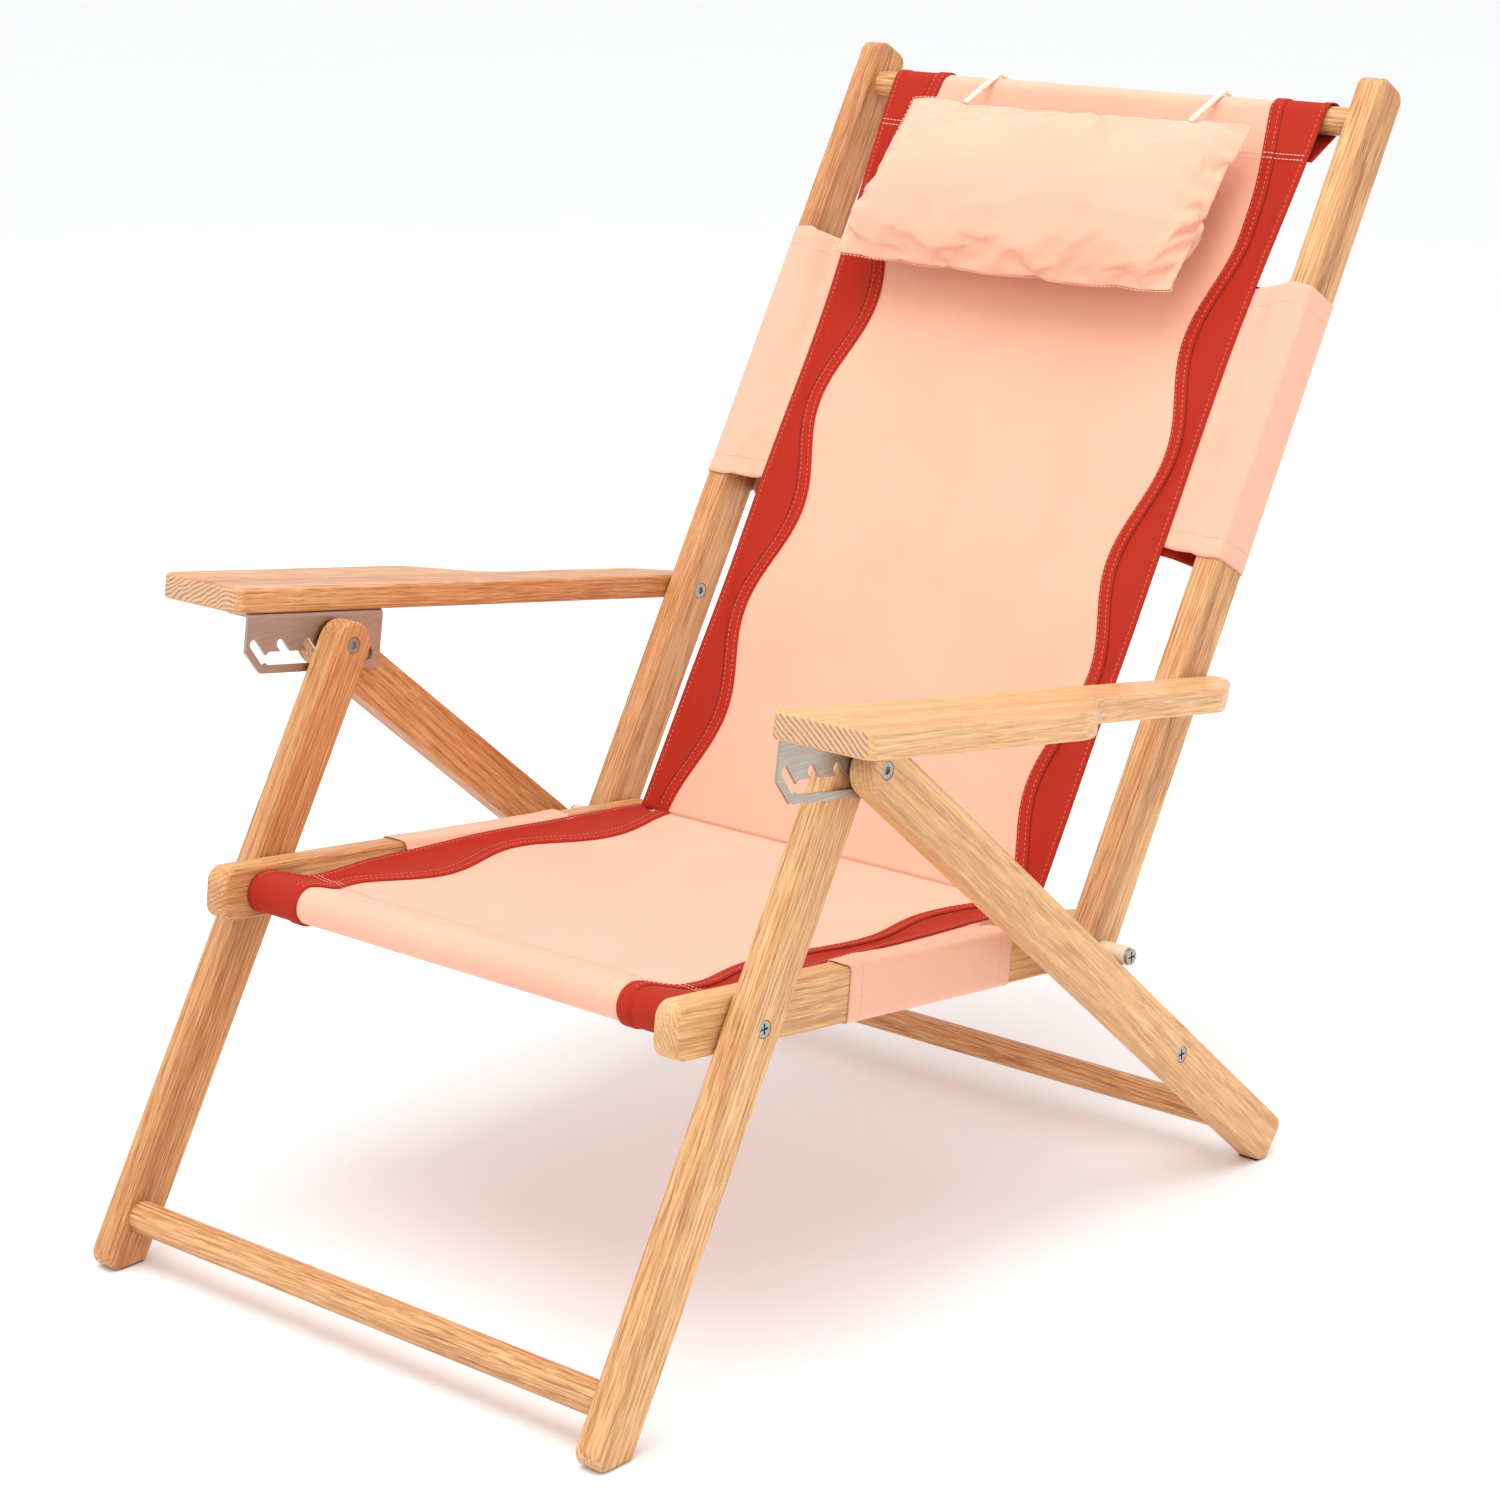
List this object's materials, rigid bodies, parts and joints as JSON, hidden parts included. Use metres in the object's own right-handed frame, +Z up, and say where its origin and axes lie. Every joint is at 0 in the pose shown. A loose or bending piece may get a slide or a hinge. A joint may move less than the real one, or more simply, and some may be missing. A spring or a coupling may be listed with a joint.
{
  "type": "folding beach chair",
  "caption": "Folding wooden beach chair with a canvas sling seat and back, notched arm brackets and a head pillow hung over the top dowel.",
  "frame": {"origin": "on the floor, under the middle of the chair's overall box", "axes": "+Z up, the chair faces -Y, +X is the sitter's left"},
  "size_m": [0.6748, 0.9032, 0.8182],
  "materials": {
    "wood": "satin oiled hardwood",
    "canvas": "plain woven canvas",
    "canvas_border": "plain woven canvas",
    "rope": "twisted cotton rope",
    "steel": "brushed stainless",
    "nylon": "matt nylon",
    "rubber": "matt"
  },
  "bodies": {
    "seat": {"seat_rail_left": "wood", "seat_rail_right": "wood", "front_seat_dowel": "wood", "rear_seat_dowel": "wood", "seat_sling": "canvas", "seat_sleeve_left": "canvas", "seat_sleeve_right": "canvas", "pivot_washers": "steel"},
    "front_legs": {"front_leg_left": "wood", "front_leg_right": "wood", "front_stretcher": "wood", "front_foot_pads": "rubber", "seat_pivot_bolts": "steel", "latch_pins_inner": "steel", "latch_washers": "steel"},
    "rear_legs": {"rear_leg_left": "wood", "rear_leg_right": "wood", "rear_stretcher": "wood", "rear_foot_pads": "rubber", "latch_pins_outer": "steel", "rear_leg_screws": "steel"},
    "back_pivots": {"back_pivot_bolts": "steel", "back_pegs": "nylon"},
    "back": {"back_upright_left": "wood", "back_upright_right": "wood", "top_dowel": "wood", "back_sling": "canvas", "back_fold_strip": "canvas", "back_sleeve_left": "canvas", "back_sleeve_right": "canvas", "pillow_cord_left": "rope", "pillow_cord_right": "rope"},
    "arm_bolts": {"arm_pivot_bolts": "steel", "arm_washers": "steel"},
    "arms": {"arm_left": "wood", "arm_right": "wood", "arm_bracket_left": "steel", "arm_bracket_right": "steel", "bracket_screws": "steel", "barrel_nuts": "steel"},
    "pillow": {"pillow": "canvas"},
    "counterweight": {"counterweight": "canvas"}
  },
  "joints": [
    {"name": "fold", "type": "hinge", "parent": "seat", "child": "front_legs", "pos_m": [0, -0.29017, 0.25881], "axis": [1, 0, 0], "range_deg": [0, 88]},
    {"name": "rear_leg_fold", "type": "hinge", "parent": "front_legs", "child": "rear_legs", "pos_m": [0, -0.19745, 0.41844], "axis": [1, 0, 0], "range_deg": [-77.54, 0.1]},
    {"name": "back_fold", "type": "hinge", "parent": "seat", "child": "back_pivots", "pos_m": [0, 0.0854, 0.2163], "axis": [1, 0, 0], "range_deg": [-0.1, 88.1]},
    {"name": "recline", "type": "hinge", "parent": "back_pivots", "child": "back", "pos_m": [0, 0.0854, 0.2163], "axis": [1, 0, 0], "range_deg": [-27.5, 7.6], "deforming": ["back_fold_strip"]},
    {"name": "arm_fold", "type": "hinge", "parent": "back", "child": "arm_bolts", "pos_m": [0, 0.18853, 0.39138], "axis": [1, 0, 0], "range_deg": [-96.9, 0.1]},
    {"name": "arm_level", "type": "hinge", "parent": "arm_bolts", "child": "arms", "pos_m": [0, 0.18853, 0.39138], "axis": [1, 0, 0], "range_deg": [-5.88, 21]},
    {"name": "pillow_slide", "type": "slide", "parent": "back", "child": "pillow", "axis": [0, 0.5124, 0.8588], "range_m": [-0.1, 0.015], "deforming": ["pillow_cord_left", "pillow_cord_right"]},
    {"name": "counterweight_slide", "type": "slide", "parent": "back", "child": "counterweight", "axis": [0, 0, 1], "range_m": [-0.0151, 0.1001]}
  ],
  "couplings": [
    {"joint": "rear_leg_fold", "follows": "fold", "ratio": -0.88},
    {"joint": "back_fold", "follows": "fold", "ratio": 1},
    {"joint": "arm_fold", "follows": "fold", "ratio": -1.1},
    {"joint": "arm_level", "follows": "recline", "ratio": -0.76},
    {"joint": "counterweight_slide", "follows": "pillow_slide", "ratio": -1}
  ]
}
